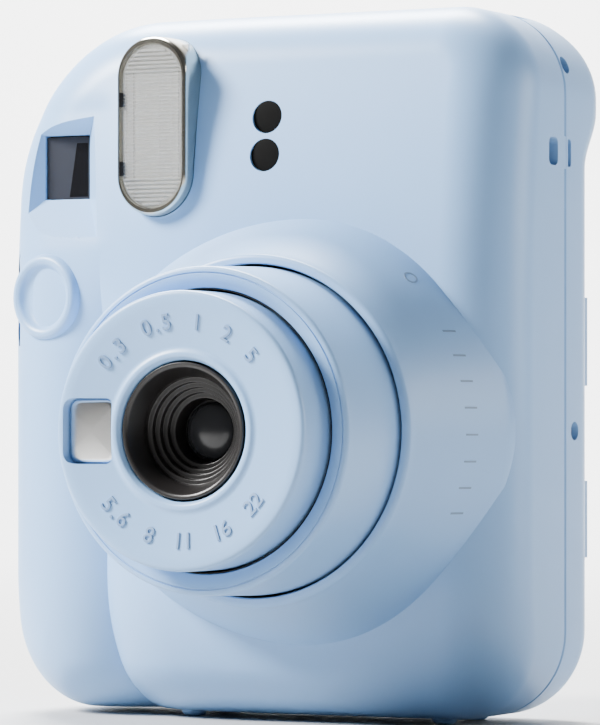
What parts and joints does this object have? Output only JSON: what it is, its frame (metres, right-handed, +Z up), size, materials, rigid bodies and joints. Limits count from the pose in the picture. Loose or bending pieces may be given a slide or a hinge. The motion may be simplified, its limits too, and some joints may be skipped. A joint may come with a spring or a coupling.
{
  "type": "instant camera",
  "caption": "Pastel instant film camera with an extending lens, pill-shaped flash, sprung shutter button, opening film and battery doors, and geared film rollers.",
  "frame": {"origin": "centre of the bounding box's base, on the plane of the feet, with the lens in its ON position", "axes": "+Z up, -Y the way the lens looks, +X to the right of someone who faces the lens"},
  "size_m": [0.104, 0.088, 0.123],
  "materials": {
    "blue_plastic": "fine satin, pastel blue",
    "black_plastic": "satin black",
    "black_gloss": "gloss black",
    "white_plastic": "natural white",
    "clear_plastic": "clear moulding",
    "glass": "polished",
    "mirror": "polished",
    "silver_trim": "warm silver plating",
    "steel": "plain",
    "brass": "cut",
    "rubber": "ground",
    "board": "solder mask",
    "cell_wrap": "film wrap"
  },
  "bodies": {
    "camera_body": {"front_cover": "blue_plastic", "rear_cover": "blue_plastic", "film_chamber": "black_plastic", "lens_guide_tube": "black_plastic", "flash_bezel": "silver_trim", "flash_lens": "clear_plastic", "flash_reflector": "silver_trim", "flash_tube": "glass", "flash_capacitor": "black_plastic", "viewfinder_window": "glass", "viewfinder_tube": "black_plastic", "eyepiece": "black_plastic", "sensor_window_upper": "black_gloss", "sensor_window_lower": "black_gloss", "light_sensor": "black_plastic", "button_spring": "steel", "button_switch": "black_plastic", "main_board": "board", "battery_box": "black_plastic", "battery_spring_front": "steel", "battery_spring_rear": "steel", "battery_contact_plate": "steel", "cell_front": "cell_wrap", "cell_rear": "cell_wrap", "motor": "steel", "roller_frame": "steel", "film_door_pin": "steel", "battery_door_pin": "steel", "counter_window": "clear_plastic", "side_screw_right": "steel", "side_screw_left": "steel"},
    "ring_carriage": {"ring_sleeve": "black_plastic"},
    "focus_ring": {"lens_ring": "blue_plastic"},
    "barrel": {"lens_barrel": "blue_plastic", "selfie_mirror": "mirror", "lens_baffle": "black_plastic", "front_lens": "glass", "shutter_housing": "black_plastic", "rear_lens": "glass", "rear_lens_holder": "black_plastic"},
    "blade": {"shutter_blade": "steel"},
    "button": {"shutter_button": "blue_plastic"},
    "film_door_leaf": {"film_door": "blue_plastic", "pack_window": "clear_plastic", "latch_spring": "steel", "pack_spring_left": "steel", "pack_spring_right": "steel"},
    "latch": {"door_latch": "blue_plastic"},
    "battery_door_leaf": {"battery_door": "blue_plastic"},
    "drive_roller_shaft": {"drive_roller": "rubber", "drive_roller_gear": "white_plastic"},
    "pressure_roller_shaft": {"pressure_roller": "rubber", "pressure_roller_gear": "white_plastic"},
    "idler_upper": {"idler_gear_upper": "white_plastic"},
    "idler_lower": {"idler_gear_lower": "white_plastic"},
    "pinion": {"motor_pinion": "brass"},
    "counter": {"counter_dial": "white_plastic"},
    "exit_flap": {"film_exit_flap": "black_plastic"}
  },
  "joints": [
    {"name": "ring_slide", "type": "slide", "parent": "camera_body", "child": "ring_carriage", "axis": [0, -1, 0], "range_m": [-0.0149, 0.0038]},
    {"name": "lens_twist", "type": "hinge", "parent": "ring_carriage", "child": "focus_ring", "pos_m": [0.0137, -0.019, 0.0504], "axis": [0, 1, 0], "range_deg": [-60, 15]},
    {"name": "barrel_slide", "type": "slide", "parent": "camera_body", "child": "barrel", "axis": [0, -1, 0], "range_m": [-0.0213, 0.0054]},
    {"name": "blade_swing", "type": "hinge", "parent": "barrel", "child": "blade", "pos_m": [0.0037, -0.0282, 0.0424], "axis": [0, 1, 0], "range_deg": [0, 52], "stiffness_Nm_per_rad": 0.0005},
    {"name": "button_press", "type": "slide", "parent": "camera_body", "child": "button", "axis": [0.225, 0.9744, 0], "range_m": [0, 0.0012], "stiffness_N_per_m": 400},
    {"name": "film_door_swing", "type": "hinge", "parent": "camera_body", "child": "film_door_leaf", "pos_m": [0.0472, 0.0375, 0.05], "axis": [0, 0, -1], "range_deg": [0, 100]},
    {"name": "latch_slide", "type": "slide", "parent": "film_door_leaf", "child": "latch", "axis": [0, 0, -1], "range_m": [0, 0.0022], "stiffness_N_per_m": 250, "deforming": ["latch_spring"]},
    {"name": "battery_door_swing", "type": "hinge", "parent": "camera_body", "child": "battery_door_leaf", "pos_m": [-0.0472, 0.0375, 0.037], "axis": [0, 0, 1], "range_deg": [0, 100]},
    {"name": "drive_roller_turn", "type": "hinge", "parent": "camera_body", "child": "drive_roller_shaft", "pos_m": [0, 0.0236, 0.111], "axis": [1, 0, 0], "continuous": true},
    {"name": "pressure_roller_turn", "type": "hinge", "parent": "camera_body", "child": "pressure_roller_shaft", "pos_m": [0, 0.0302, 0.111], "axis": [1, 0, 0], "continuous": true},
    {"name": "idler_upper_turn", "type": "hinge", "parent": "camera_body", "child": "idler_upper", "pos_m": [-0.0234, 0.0236, 0.10135], "axis": [1, 0, 0], "continuous": true},
    {"name": "idler_lower_turn", "type": "hinge", "parent": "camera_body", "child": "idler_lower", "pos_m": [-0.0234, 0.0236, 0.0887], "axis": [1, 0, 0], "continuous": true},
    {"name": "pinion_turn", "type": "hinge", "parent": "camera_body", "child": "pinion", "pos_m": [-0.0234, 0.0236, 0.07995], "axis": [1, 0, 0], "continuous": true},
    {"name": "counter_turn", "type": "hinge", "parent": "camera_body", "child": "counter", "pos_m": [-0.037, 0.0348, 0.0752], "axis": [0, 1, 0], "range_deg": [0, 300]},
    {"name": "exit_flap_swing", "type": "hinge", "parent": "camera_body", "child": "exit_flap", "pos_m": [0.014, 0.0284, 0.119], "axis": [-1, 0, 0], "range_deg": [0, 70], "stiffness_Nm_per_rad": 0.0005}
  ],
  "couplings": [
    {"joint": "ring_slide", "follows": "lens_twist", "m_per_rad": 0.01422},
    {"joint": "barrel_slide", "follows": "lens_twist", "m_per_rad": 0.02033},
    {"joint": "pressure_roller_turn", "follows": "drive_roller_turn", "ratio": -1},
    {"joint": "idler_upper_turn", "follows": "drive_roller_turn", "ratio": -0.52381},
    {"joint": "idler_lower_turn", "follows": "drive_roller_turn", "ratio": 0.52381},
    {"joint": "pinion_turn", "follows": "drive_roller_turn", "ratio": -1.375}
  ]
}
